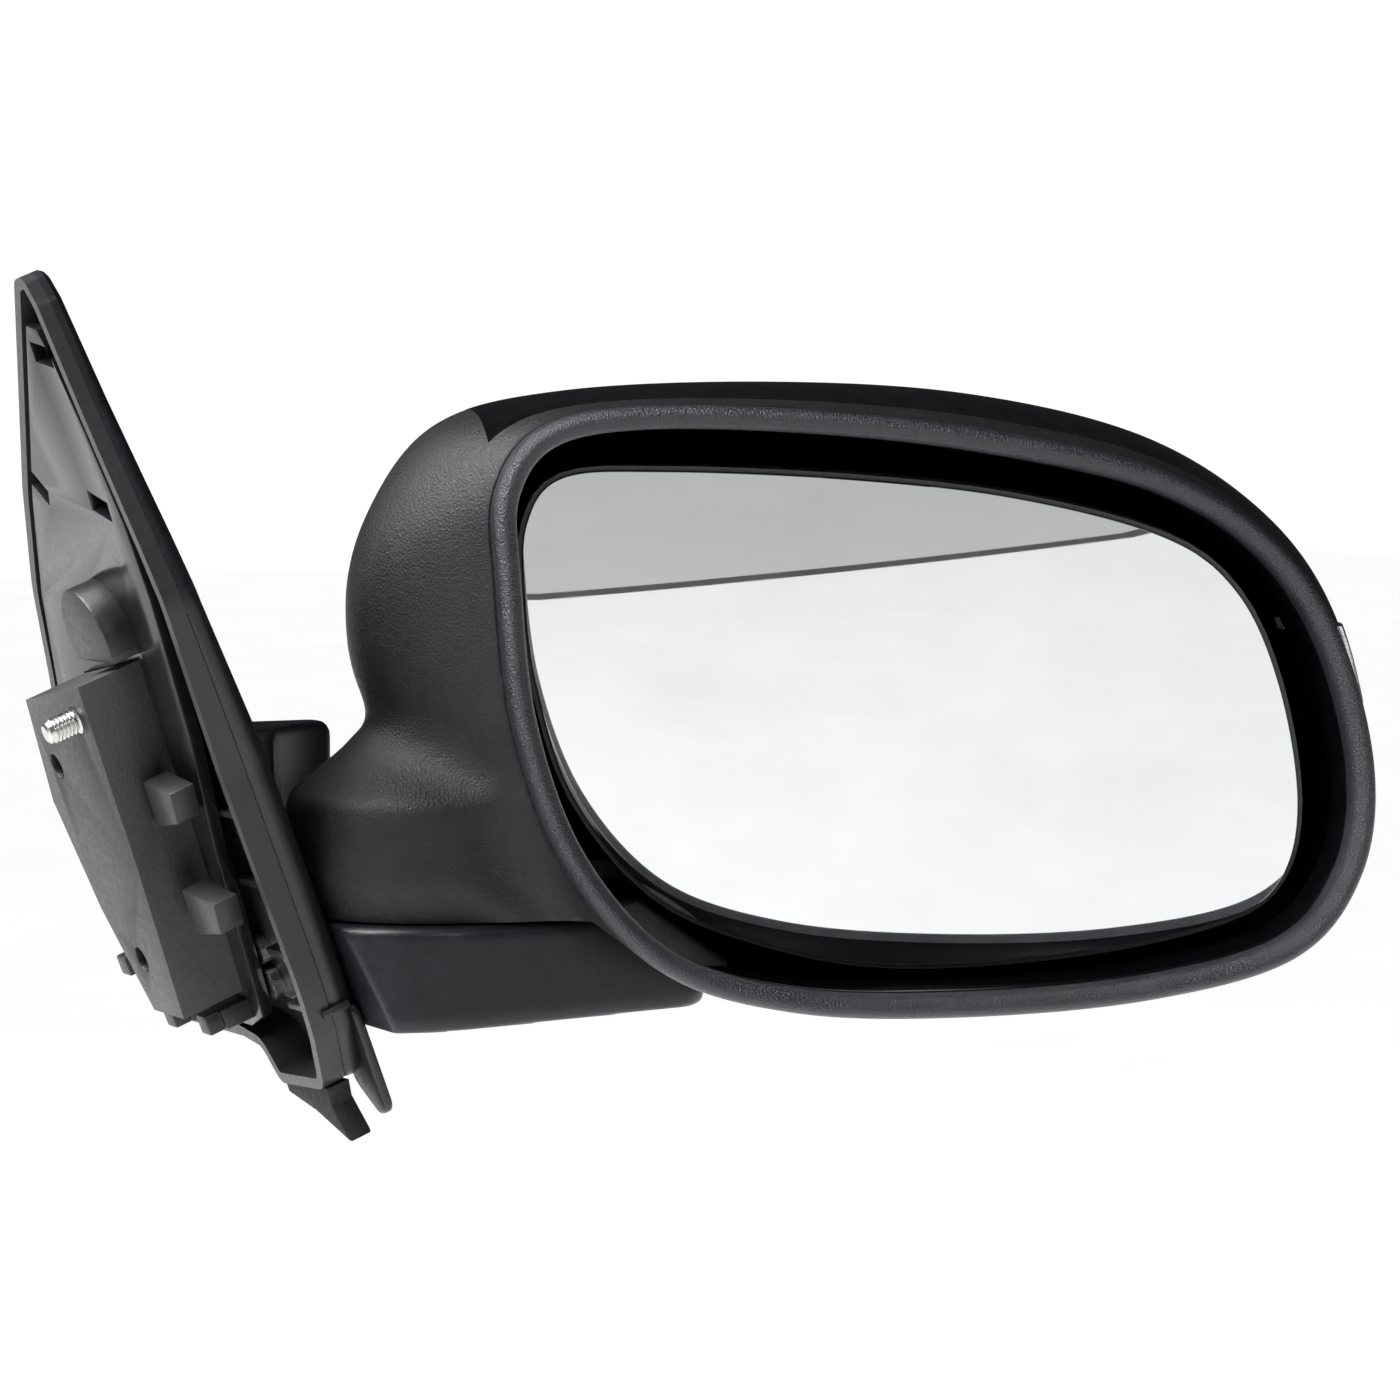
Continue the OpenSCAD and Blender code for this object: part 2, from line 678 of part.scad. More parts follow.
module actuator_socket() {
  color("#2b2b2b") pivot_frame() difference() {
    block([-35, 34, -12], [-25, 42, 12]);
    block([-33.5, 36, -10.5], [-26.5, 43, 10.5]);
  }
}

module motor(length) {
  difference() {
    rod_z(6, 0, length);
    translate([5.2, -10, -1]) cube([10, 20, length + 2]);
    translate([-15.2, -10, -1]) cube([10, 20, length + 2]);
  }
}

// Worm on its shaft, its thread drawn as rings
module worm(length) {
  rod_z(1, -3, length + 3);
  rod_z(worm_r - 0.7, 0, length);
  for (z = [0.6:2:length - 1]) rod_z(worm_r, z, z + 0.9);
}

module tilt_drive() { pivot_frame() translate([0, gear_depth + 2.5, tilt_at[1] + worm_off]) rotate([0, 90, 0]) children(); }
module pan_drive() { pivot_frame() translate([pan_at[0] - worm_off, gear_depth + 2.5, 0]) children(); }

module tilt_motor() { color("#8b8d90") tilt_drive() translate([0, 0, -33]) motor(22); }
module pan_motor() { color("#8b8d90") pan_drive() translate([0, 0, 11]) motor(22); }
module tilt_worm() { color("#d6c27a") tilt_drive() translate([0, 0, -7.5]) worm(13); }
module pan_worm() { color("#d6c27a") pan_drive() translate([0, 0, -5.6]) worm(13); }

module jack_gear() {
  difference() {
    union() {
      at_depths(gear_depth, gear_depth + 5) for (k = [0:gear_teeth - 1]) rotate(360 * k / gear_teeth)
        polygon([[0, -0.6], [gear_r, -0.3], [gear_r, 0.3], [0, 0.6]]);
      rod_y(gear_r - 1.2, gear_depth, gear_depth + 5);
      rod_y(5, gear_depth - 3, gear_depth + 8);
    }
    rod_y(jack_r + 0.06, 0, 40);
  }
}

module tilt_gear() { color("#efeee8") pivot_frame() translate([tilt_at[0], 0, tilt_at[1]]) jack_gear(); }
module pan_gear() { color("#efeee8") pivot_frame() translate([pan_at[0], 0, pan_at[1]]) jack_gear(); }

// Screw jack with a ball end; ball_d is the ball's depth from the glass pivot at rest
ball_r = 3;
socket_depth = -1;
tilt_ball_d = jack_offset * sin(tilt_rest) + socket_depth * cos(tilt_rest);
pan_ball_d = -jack_offset * sin(pan_rest) + socket_depth * cos(pan_rest);
module jack(ball_d) {
  translate([0, ball_d, 0]) {
    sphere(r = ball_r);
    rod_y(1.6, 0, 6);
    rod_y(jack_r, 6, 28);
  }
}

module tilt_jack() { color("#f2f1ec") pivot_frame() translate([0, 0, tilt_at[1]]) jack(tilt_ball_d); }
module pan_jack() { color("#f2f1ec") pivot_frame() translate([pan_at[0], 0, 0]) jack(pan_ball_d); }

// ---- Glass ----

module gimbal_ring() {
  color("#cfcfc9") gimbal_frame() difference() {
    union() {
      rod_y(14.5, -2.5, 2.5);
      rod_x(2, -19.2, 19.2);
      rod_z(2, -19.2, 19.2);
    }
    rod_y(11, -3, 3);
  }
}

// Between two of the glass's concentric spheres, within an outline
module glass_layer(outer, inner, by) {
  outline = inset([for (p = closed_curve(glass_points)) p - [glass_pivot[0], glass_pivot[2]]], by);
  centre = glass_radius - glass_front;
  difference() {
    intersection() {
      at_depths(-glass_front - 1, 5) polygon(outline);
      translate([0, centre, 0]) sphere(r = glass_radius - outer, $fn = 360);
    }
    translate([0, centre, 0]) sphere(r = glass_radius - inner, $fn = 360);
  }
}

module mirror_glass() { color("#cfd3d4") glass_frame() glass_layer(0, glass_t, 0); }
module heater_pad() { color("#b8762e") glass_frame() glass_layer(glass_t + 0.05, glass_t + 0.75, 0.6); }

module glass_holder() {
  back = glass_front - glass_t - 3.4;
  color("#1a1a1c") glass_frame() {
    difference() {
      union() {
        difference() {
          glass_layer(0.7, glass_t + 3.4, -1.2);
          glass_layer(-1, glass_t + 0.8, -0.15);
        }
        // Ears that ride on the gimbal's pan pins
        for (side = [-1, 1]) translate([0, 0, side * 17.5]) block([-3.6, -back - 1, -1.5], [3.6, 3.6, 1.5]);
        // Sockets round the jacks' ball ends
        for (p = [tilt_at, pan_at]) translate([p[0], 0, p[1]]) rod_y(5.6, -back - 1, 1.2);
      }
      rod_z(2.06, -25, 25);
      for (p = [tilt_at, pan_at]) translate([p[0], 0, p[1]]) rod_y(4.4, -back + 1.6, 3);
    }
  }
}

sail_cover();
base_plate();
base_bracket();
mounting_stud();
bracket_screws();
bracket_clips();
arch_tab();
retaining_clips();
belt_seal();
cable_grommet();
foot_arm();
foot_bottom_cover();
pivot_post();
post_screws();
lower_detent_ring();
fold_spring();
spring_retainer();
upper_detent_ring();
hub_bush();
head_frame();
frame_screws();
head_housing();
skull_cap();
rim_bezel();
inner_funnel();
signal_lens();
signal_housing();
signal_board();
signal_leds();
actuator_base();
actuator_cover();
actuator_screws();
actuator_socket();
tilt_motor();
pan_motor();
tilt_worm();
pan_worm();
tilt_gear();
pan_gear();
tilt_jack();
pan_jack();
gimbal_ring();
glass_holder();
heater_pad();
mirror_glass();
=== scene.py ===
"""Car side mirror: the looks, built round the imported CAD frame.

Lengths are in millimetres, except for the camera, the lights and the floor, which are in metres.
"""

import json
import math

import bmesh
import bpy
import numpy as np
import openvdb
from mathutils import Matrix, Vector
from mathutils.geometry import delaunay_2d_cdt


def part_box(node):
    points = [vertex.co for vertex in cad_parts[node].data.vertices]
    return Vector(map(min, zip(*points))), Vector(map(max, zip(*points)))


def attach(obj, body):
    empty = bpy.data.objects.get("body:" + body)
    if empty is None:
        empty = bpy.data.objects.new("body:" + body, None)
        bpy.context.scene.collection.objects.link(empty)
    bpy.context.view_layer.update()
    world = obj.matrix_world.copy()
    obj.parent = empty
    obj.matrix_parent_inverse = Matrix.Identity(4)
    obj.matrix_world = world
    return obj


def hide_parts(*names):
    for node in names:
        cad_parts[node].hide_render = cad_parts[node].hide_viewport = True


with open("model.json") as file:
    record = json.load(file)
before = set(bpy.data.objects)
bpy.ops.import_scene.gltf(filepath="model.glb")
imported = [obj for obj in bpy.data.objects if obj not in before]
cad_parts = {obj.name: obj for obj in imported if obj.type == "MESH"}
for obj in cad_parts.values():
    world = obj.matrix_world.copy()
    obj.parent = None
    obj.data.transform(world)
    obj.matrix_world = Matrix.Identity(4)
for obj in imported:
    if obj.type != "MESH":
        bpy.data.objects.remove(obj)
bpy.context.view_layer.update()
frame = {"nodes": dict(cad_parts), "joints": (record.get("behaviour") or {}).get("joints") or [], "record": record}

MM = 0.001
JOINTS = {j["name"]: j for j in frame["joints"]}
NODES = frame["nodes"]

# ---------------------------------------------------------------- frames

PIVOT = np.array(JOINTS["head_fold"]["pos_m"]) / MM
GLASS_PIVOT = np.array(JOINTS["glass_tilt"]["pos_m"]) / MM
ACROSS = np.array(JOINTS["glass_tilt"]["axis"])
UP = np.array([0.0, 0.0, 1.0])
DEEP = np.cross(UP, ACROSS)
GLASS_PIVOT_LOCAL = (8.0, 34.0, 0.0)
HEAD = GLASS_PIVOT - ACROSS * GLASS_PIVOT_LOCAL[0] - DEEP * GLASS_PIVOT_LOCAL[1]
DOOR_NORMAL = -np.array(next(m for m in frame["record"]["mounts"] if m["name"] == "door_face")["axis"])
FORWARD = np.array([0.0, 1.0, 0.0])
LEAN_UP = np.cross(DOOR_NORMAL, FORWARD)
TILT_REST = math.radians(8)
PAN_REST = math.radians(-6)


def from_head(points):
    """(across, deep, up) points of the head's own frame, in the row frame."""
    p = np.asarray(points, float)
    return HEAD + p[:, :1] * ACROSS + p[:, 1:2] * DEEP + p[:, 2:3] * UP


def from_sail(points):
    """(out of the door, forward, up the lean) points, in the row frame."""
    p = np.asarray(points, float)
    return p[:, :1] * DOOR_NORMAL + p[:, 1:2] * FORWARD + p[:, 2:3] * LEAN_UP


def from_glass(points):
    """Points round the glass pivot, in the glass's own rest frame, in the row frame."""
    p = np.asarray(points, float)
    turn = Matrix.Rotation(TILT_REST, 3, "X") @ Matrix.Rotation(PAN_REST, 3, "Z")
    p = p @ np.array(turn).T
    return GLASS_PIVOT + p[:, :1] * ACROSS + p[:, 1:2] * DEEP + p[:, 2:3] * UP


# ---------------------------------------------------------------- outlines

# (across, up) control points of the head, clockwise from the inboard edge as the driver sees them
RIM_POINTS = [
    (-94, 34), (-94, 54), (-84, 68), (-62, 73), (-20, 72), (23, 67), (62, 58), (88, 43), (105, 20),
    (114, -12), (111, -38), (95, -57), (60, -66), (15, -69), (-25, -67), (-56, -57), (-78, -33), (-90, -1)]
MID_POINTS = [
    (-123, 24), (-118, 47), (-102, 68), (-72, 76), (-22, 78), (26, 75), (68, 65), (97, 47), (114, 24),
    (121, -6), (116, -34), (98, -53), (62, -62), (15, -66), (-28, -65), (-62, -54), (-92, -32), (-117, 0)]
GLASS_POINTS = [
    (-83, 28), (-83, 46), (-75, 57), (-52, 59), (-10, 58), (30, 54), (66, 45), (84, 32), (95, 10),
    (101, -18), (98, -37), (85, -47), (50, -55), (5, -58), (-28, -52), (-52, -41), (-71, -18), (-80, 8)]
BOWL_CENTRE = np.array([0.0, 4.0])
BEAD_DEPTH = 8.0
BEAD_WIDTH = 5.5
SHELL_START = BEAD_DEPTH + 0.2
MID_DEPTH = 45.0
BACK_DEPTH = 98.0
BOWL_FULLNESS = 2.4
WALL = 2.6
CAP_CORNER = (-94.0, 16.0, -4.0)
LENS_CORNERS = ((86.0, 20.0, 2.0), (140.0, 64.0, 20.0))
LENS_PROUD = 0.9
SKIN_GAP = 0.12
BEYOND = 150.0


def closed_curve(points, steps):
    """Closed Catmull-Rom curve through control points."""
    p = np.array(points, float)
    n = len(p)
    out = []
    for i in range(n):
        a, b, c, d = p[i - 1], p[i], p[(i + 1) % n], p[(i + 2) % n]
        for s in range(steps):
            t = s / steps
            out.append(0.5 * (2 * b + (c - a) * t + (2 * a - 5 * b + 4 * c - d) * t * t
                              + (3 * b - a - 3 * c + d) * t ** 3))
    return np.array(out)


def inset(ring, by):
    """A clockwise outline moved inwards."""
    along = np.roll(ring, -1, 0) - np.roll(ring, 1, 0)
    along /= np.linalg.norm(along, axis=1)[:, None]
    return ring + by * np.stack([along[:, 1], -along[:, 0]], 1)


def rounded_polygon(corners, radii, steps=6):
    """A clockwise polygon with each corner turned into an arc of its own radius."""
    p = np.array(corners, float)
    shortest = 0.15
    out = []
    for i in range(len(p)):
        a, b, c = p[i - 1], p[i], p[(i + 1) % len(p)]
        u = (a - b) / np.linalg.norm(a - b)
        v = (c - b) / np.linalg.norm(c - b)
        half = math.acos(np.clip(u @ v, -1, 1)) / 2
        reach = min(radii[i] / math.tan(half), 0.45 * np.linalg.norm(a - b), 0.45 * np.linalg.norm(c - b))
        r = reach * math.tan(half)
        centre = b + (u + v) / np.linalg.norm(u + v) * r / math.sin(half)
        start, end = b + u * reach - centre, b + v * reach - centre
        turn = math.atan2(start[0] * end[1] - start[1] * end[0], start @ end)
        for k in range(steps + 1):
            angle = turn * k / steps
            out.append(centre + [start[0] * math.cos(angle) - start[1] * math.sin(angle),
                                 start[0] * math.sin(angle) + start[1] * math.cos(angle)])
    out = np.array(out)
    return out[np.linalg.norm(out - np.roll(out, 1, 0), axis=1) > shortest]


# ---------------------------------------------------------------- mesh helpers

def new_object(name, verts_mm, faces, material, smooth=35):
    """A mesh object from points in millimetres; edges sharper than smooth degrees stay sharp."""
    mesh = bpy.data.meshes.new(name)
    mesh.from_pydata((np.asarray(verts_mm, float) * MM).tolist(), [], [list(map(int, f)) for f in faces])
    mesh.update()
    obj = bpy.data.objects.new(name, mesh)
    bpy.context.scene.collection.objects.link(obj)
    if material is not None:
        mesh.materials.append(material)
    shade(obj, smooth)
    return obj


def shade(obj, angle):
    """Outward normals, and smooth shading broken at edges sharper than angle degrees."""
    bm = bmesh.new()
    bm.from_mesh(obj.data)
    bmesh.ops.recalc_face_normals(bm, faces=bm.faces)
    for f in bm.faces:
        f.smooth = True
    for e in bm.edges:
        e.smooth = len(e.link_faces) != 2 or e.calc_face_angle(0) < math.radians(angle)
    bm.to_mesh(obj.data)
    bm.free()


def grid_faces(rings, count, close_rings=False):
    """Quads between consecutive closed rings of count points."""
    faces = []
    for r in range(rings if close_rings else rings - 1):
        a, b = r * count, ((r + 1) % rings) * count
        faces += [(a + i, b + i, b + (i + 1) % count, a + (i + 1) % count) for i in range(count)]
    return faces


def loft(name, rings, material, smooth=35):
    """A solid through closed rings of equal count."""
    count = len(rings[0])
    faces = grid_faces(len(rings), count)
    faces.append(tuple(range(count)))
    faces.append(tuple(range(len(rings) * count - 1, (len(rings) - 1) * count - 1, -1)))
    return new_object(name, np.concatenate(rings), faces, material, smooth)


def ring_sweep(name, section, material):
    """A closed section of (inset, depth) points carried round the head's rim."""
    outline = closed_curve(RIM_POINTS, 24)
    rings = [head_ring(inset(outline, by), depth) for by, depth in section]
    return new_object(name, np.concatenate(rings), grid_faces(len(rings), len(outline), True), material, 50)


def apply_modifiers(obj):
    """Bakes the object's modifiers into its mesh."""
    depsgraph = bpy.context.evaluated_depsgraph_get()
    mesh = bpy.data.meshes.new_from_object(obj.evaluated_get(depsgraph))
    old = obj.data
    obj.modifiers.clear()
    obj.data = mesh
    bpy.data.meshes.remove(old)


def boolean(obj, cutter, operation="DIFFERENCE"):
    """Cuts one mesh by another, and drops the cutter."""
    m = obj.modifiers.new("cut", "BOOLEAN")
    m.object = cutter
    m.operation = operation
    m.solver = "EXACT"
    apply_modifiers(obj)
    drop(cutter)


def bevel(obj, width, segments, angle):
    """Rounds the edges sharper than angle degrees by a width in millimetres."""
    m = obj.modifiers.new("bevel", "BEVEL")
    m.width = width * MM
    m.segments = segments
    m.limit_method = "ANGLE"
    m.angle_limit = math.radians(angle)
    m.harden_normals = False
    apply_modifiers(obj)


def finish_piece(obj, body, node):
    """Puts a piece on its body, in place of a CAD node."""
    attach(obj, body)
    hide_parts(node)
    return obj


def prism(name, outline, low, high):
    """An outline of (forward, up the lean) points drawn between two distances out of the door."""
    rings = [from_sail(np.column_stack([np.full(len(outline), out), outline])) for out in (low, high)]
    return loft(name, rings, None, 30)


# ---------------------------------------------------------------- distance fields

VOXEL = 1.2


class Field:
    """Signed distances on a shared grid, made from closed meshes, in millimetres."""

    def __init__(self, low, high, voxel):
        self.low = np.array(low, float)
        self.voxel = voxel
        self.shape = tuple(int(math.ceil((h - l) / voxel)) + 1 for l, h in zip(low, high))

    def of(self, obj, reach):
        """Distance to a mesh object, right within reach of its surface."""
        mesh = obj.data
        mesh.calc_loop_triangles()
        points = np.array([v.co for v in mesh.vertices], np.float32) / MM
        points = (points - self.low.astype(np.float32)) / self.voxel
        tris = np.array([t.vertices for t in mesh.loop_triangles], np.uint32)
        band = reach / self.voxel + 1
        grid = openvdb.FloatGrid.createLevelSetFromPolygons(points, triangles=tris, halfWidth=band)
        out = np.zeros(self.shape, np.float32)
        grid.copyToArray(out)
        return out * self.voxel

    def mesh(self, name, values, material):
        """The surface where the distances are zero."""
        grid = openvdb.FloatGrid(background=float(values.max()))
        grid.copyFromArray(values.astype(np.float32))
        points, quads = grid.convertToQuads(isovalue=0.0)
        return new_object(name, points * self.voxel + self.low, quads, material)


def smooth_union(a, b, k):
    """Two distance fields joined with a fillet about k millimetres wide."""
    h = np.clip(k - np.abs(a - b), 0, None) / k
    return np.minimum(a, b) - h * h * k / 4


def smooth_max(a, b, k):
    """Two distance fields intersected, with the edge rounded over k millimetres."""
    return -smooth_union(-a, -b, k)


def relax(obj, rounds):
    """Smooths away the grid's steps."""
    m = obj.modifiers.new("relax", "SMOOTH")
    m.iterations = rounds
    m.factor = 0.5
    apply_modifiers(obj)


def hull_object(name, points):
    """The convex hull of points, as a helper mesh."""
    mesh = bpy.data.meshes.new(name)
    bm = bmesh.new()
    for p in points:
        bm.verts.new(Vector(p) * MM)
    bmesh.ops.convex_hull(bm, input=bm.verts)
    loose = [v for v in bm.verts if not v.link_faces]
    bmesh.ops.delete(bm, geom=loose, context="VERTS")
    bm.to_mesh(mesh)
    bm.free()
    obj = bpy.data.objects.new(name, mesh)
    bpy.context.scene.collection.objects.link(obj)
    return obj


def circle(x, y, z, r, count=64):
    """A level ring of points."""
    a = np.arange(count) * 2 * math.pi / count
    return np.column_stack([x + r * np.cos(a), y + r * np.sin(a), np.full(count, z)])


def drop(*objects):
    for o in objects:
        bpy.data.objects.remove(o)


# ---------------------------------------------------------------- materials

def material(name):
    """A material with its node tree, its Principled shader and object coordinates in millimetres."""
    m = bpy.data.materials.new(name)
    m.use_nodes = True
    tree = m.node_tree
    shader = tree.nodes["Principled BSDF"]
    coords = tree.nodes.new("ShaderNodeTexCoord")
    scale = tree.nodes.new("ShaderNodeMapping")
    scale.inputs["Scale"].default_value = (1 / MM,) * 3
    tree.links.new(coords.outputs["Object"], scale.inputs["Vector"])
    return m, tree, shader, scale.outputs["Vector"]


def noise(tree, vector, size, detail=2.0, rough=0.5):
    """Noise whose grains are about size millimetres."""
    n = tree.nodes.new("ShaderNodeTexNoise")
    n.inputs["Scale"].default_value = 1 / size
    n.inputs["Detail"].default_value = detail
    n.inputs["Roughness"].default_value = rough
    tree.links.new(vector, n.inputs["Vector"])
    return n.outputs["Fac"]


def cells(tree, vector, size):
    """Rounded cells about size millimetres across."""
    v = tree.nodes.new("ShaderNodeTexVoronoi")
    v.inputs["Scale"].default_value = 1 / size
    tree.links.new(vector, v.inputs["Vector"])
    return v.outputs["Distance"]


def ramp(tree, value, low, high, start=0.3, end=0.7):
    """A value turned into a range, numbers or colours."""
    if isinstance(low, (int, float)):
        r = tree.nodes.new("ShaderNodeMapRange")
        for key, v in (("From Min", start), ("From Max", end), ("To Min", low), ("To Max", high)):
            r.inputs[key].default_value = v
        tree.links.new(value, r.inputs["Value"])
        return r.outputs["Result"]
    r = tree.nodes.new("ShaderNodeValToRGB")
    r.color_ramp.elements[0].position = start
    r.color_ramp.elements[0].color = (*low, 1)
    r.color_ramp.elements[1].position = end
    r.color_ramp.elements[1].color = (*high, 1)
    tree.links.new(value, r.inputs["Fac"])
    return r.outputs["Color"]


def added(tree, first, second):
    """The sum of two values."""
    m = tree.nodes.new("ShaderNodeMath")
    m.operation = "ADD"
    tree.links.new(first, m.inputs[0])
    tree.links.new(second, m.inputs[1])
    return m.outputs[0]


def bump(tree, shader, height, depth_mm):
    """A fine relief on the surface."""
    b = tree.nodes.new("ShaderNodeBump")
    b.inputs["Distance"].default_value = depth_mm * MM
    b.inputs["Strength"].default_value = 1.0
    tree.links.new(height, b.inputs["Height"])
    tree.links.new(b.outputs["Normal"], shader.inputs["Normal"])


def edge_wear(tree, colour, worn):
    """Turns a colour into the worn one on convex edges."""
    g = tree.nodes.new("ShaderNodeNewGeometry")
    edges = ramp(tree, g.outputs["Pointiness"], 0.0, 1.0, 0.53, 0.60)
    m = tree.nodes.new("ShaderNodeMix")
    m.data_type = "RGBA"
    tree.links.new(edges, m.inputs["Factor"])
    tree.links.new(colour, m.inputs["A"])
    m.inputs["B"].default_value = (*worn, 1)
    return m.outputs["Result"]


def plastic(name, colour, rough, grain=0.0, grain_depth=0.0, spread=0.25, worn=None, ior=1.5, shine=0.5):
    """Moulded plastic: colour drift, uneven gloss and, where asked for, a moulded grain in millimetres."""
    m, tree, shader, at = material(name)
    colour = np.array(colour)
    drift = noise(tree, at, 6.0, 4.0, 0.6)
    base = ramp(tree, drift, tuple(colour * (1 - spread)), tuple(colour * (1 + spread)))
    if worn is not None:
        base = edge_wear(tree, base, worn)
    tree.links.new(base, shader.inputs["Base Color"])
    fine = noise(tree, at, 1.7, 3.0, 0.6)
    tree.links.new(ramp(tree, fine, rough * 0.85, rough * 1.2), shader.inputs["Roughness"])
    shader.inputs["IOR"].default_value = ior
    shader.inputs["Specular IOR Level"].default_value = shine
    if grain:
        pits = cells(tree, at, grain)
        dust = noise(tree, at, grain * 0.55, 3.0, 0.7)
        bump(tree, shader, added(tree, pits, dust), grain_depth)
    else:
        bump(tree, shader, noise(tree, at, 2.5, 4.0, 0.5), 0.01)
    return m


def metal(name, colour, rough, spread=0.12, scratch=0.01, worn=None):
    """Plated or machined metal with fine scratches and patches of dulled plating."""
    m, tree, shader, at = material(name)
    colour = np.array(colour)
    patches = noise(tree, at, 4.0, 6.0, 0.65)
    base = ramp(tree, patches, tuple(colour * (1 - spread)), tuple(np.minimum(colour * (1 + spread), 1)))
    if worn is not None:
        base = edge_wear(tree, base, worn)
    tree.links.new(base, shader.inputs["Base Color"])
    shader.inputs["Metallic"].default_value = 1.0
    tree.links.new(ramp(tree, patches, rough * 0.75, rough * 1.3), shader.inputs["Roughness"])
    stretch = tree.nodes.new("ShaderNodeMapping")
    stretch.inputs["Scale"].default_value = (0.25, 1, 4)
    tree.links.new(at, stretch.inputs["Vector"])
    bump(tree, shader, noise(tree, stretch.outputs["Vector"], 0.8, 5.0, 0.7), scratch)
    return m


def mirror_material():
    """Silvered convex glass: an even coating with a faint haze."""
    m, tree, shader, at = material("mirror_silver")
    haze = noise(tree, at, 30.0, 3.0, 0.5)
    tree.links.new(ramp(tree, haze, (0.715, 0.73, 0.735), (0.745, 0.76, 0.765)), shader.inputs["Base Color"])
    shader.inputs["Metallic"].default_value = 1.0
    tree.links.new(ramp(tree, noise(tree, at, 9.0, 5.0, 0.7), 0.004, 0.016), shader.inputs["Roughness"])
    return m


def clear_material():
    """Clear moulded lens plastic with faint flow lines."""
    m, tree, shader, at = material("lens_clear")
    drift = noise(tree, at, 5.0, 3.0, 0.5)
    tree.links.new(ramp(tree, drift, (0.90, 0.92, 0.93), (0.97, 0.98, 0.99)), shader.inputs["Base Color"])
    shader.inputs["Transmission Weight"].default_value = 0.82
    shader.inputs["IOR"].default_value = 1.49
    tree.links.new(ramp(tree, noise(tree, at, 3.0, 3.0, 0.5), 0.03, 0.09), shader.inputs["Roughness"])
    bump(tree, shader, noise(tree, at, 2.0, 2.0, 0.5), 0.02)
    return m


def board_material():
    """Green circuit board with a woven weave and lighter tracks."""
    m, tree, shader, at = material("board_green")
    w = tree.nodes.new("ShaderNodeTexWave")
    w.inputs["Scale"].default_value = 0.6
    w.inputs["Distortion"].default_value = 3.0
    tree.links.new(at, w.inputs["Vector"])
    tracks = ramp(tree, w.outputs["Fac"], (0.01, 0.12, 0.03), (0.03, 0.22, 0.06), 0.4, 0.6)
    tree.links.new(tracks, shader.inputs["Base Color"])
    tree.links.new(ramp(tree, noise(tree, at, 0.6), 0.25, 0.45), shader.inputs["Roughness"])
    bump(tree, shader, w.outputs["Fac"], 0.04)
    return m


PLASTICS = {
    "textured_black": dict(colour=(0.010, 0.010, 0.011), rough=0.48, grain=0.62, grain_depth=0.11,
                           worn=(0.022, 0.022, 0.024), shine=0.42),
    # Painted highlight, in part: the bead's base colour, lighter and more purple than textured_black, stands in
    # for the purple-grey sheen along its crest; its grain and gloss are the plastic's own.
    "textured_bead": dict(colour=(0.020, 0.018, 0.026), rough=0.33, grain=0.55, grain_depth=0.22, shine=0.8),
    "gloss_black": dict(colour=(0.004, 0.004, 0.005), rough=0.07, spread=0.4),
    "satin_black": dict(colour=(0.010, 0.009, 0.013), rough=0.36, grain=0.35, grain_depth=0.02,
                        worn=(0.03, 0.03, 0.034)),
    "panel_black": dict(colour=(0.010, 0.010, 0.012), rough=0.20),
    "cast_black": dict(colour=(0.010, 0.010, 0.011), rough=0.42, grain=0.8, grain_depth=0.05,
                       worn=(0.10, 0.10, 0.10)),
    "moulded_black": dict(colour=(0.012, 0.012, 0.013), rough=0.4, grain=0.5, grain_depth=0.02,
                          worn=(0.04, 0.04, 0.042)),
    "frame_plastic": dict(colour=(0.03, 0.03, 0.032), rough=0.5, grain=0.5, grain_depth=0.03,
                          worn=(0.07, 0.07, 0.07)),
    "actuator_white": dict(colour=(0.66, 0.65, 0.60), rough=0.42, grain=0.6, grain_depth=0.02, spread=0.05),
    "gear_white": dict(colour=(0.80, 0.79, 0.74), rough=0.34, spread=0.04),
    "seal_rubber": dict(colour=(0.012, 0.012, 0.012), rough=0.7, grain=0.3, grain_depth=0.03, ior=1.45),
    "led_resin": dict(colour=(0.85, 0.70, 0.30), rough=0.18, spread=0.08),
}
METALS = {
    "zinc_steel": dict(colour=(0.62, 0.62, 0.60), rough=0.28, worn=(0.85, 0.85, 0.83)),
    "sintered_steel": dict(colour=(0.33, 0.33, 0.32), rough=0.45, spread=0.2, scratch=0.03),
    "spring_steel": dict(colour=(0.42, 0.43, 0.45), rough=0.25),
    "bush_bronze": dict(colour=(0.62, 0.42, 0.20), rough=0.35, spread=0.15),
    "heater_foil": dict(colour=(0.70, 0.38, 0.16), rough=0.35, spread=0.15),
    "reflector_chrome": dict(colour=(0.88, 0.88, 0.89), rough=0.08, spread=0.03, scratch=0.002),
}
FINISH = {
    **{name: plastic(name, **look) for name, look in PLASTICS.items()},
    **{name: metal(name, **look) for name, look in METALS.items()},
    "lens_clear": clear_material(),
    "board_green": board_material(),
    "mirror_silver": mirror_material(),
}


# ---------------------------------------------------------------- head shells

def head_ring(outline, depth):
    """An (across, up) outline at a depth of the head's frame."""
    return from_head(np.column_stack([outline[:, 0], np.full(len(outline), depth), outline[:, 1]]))


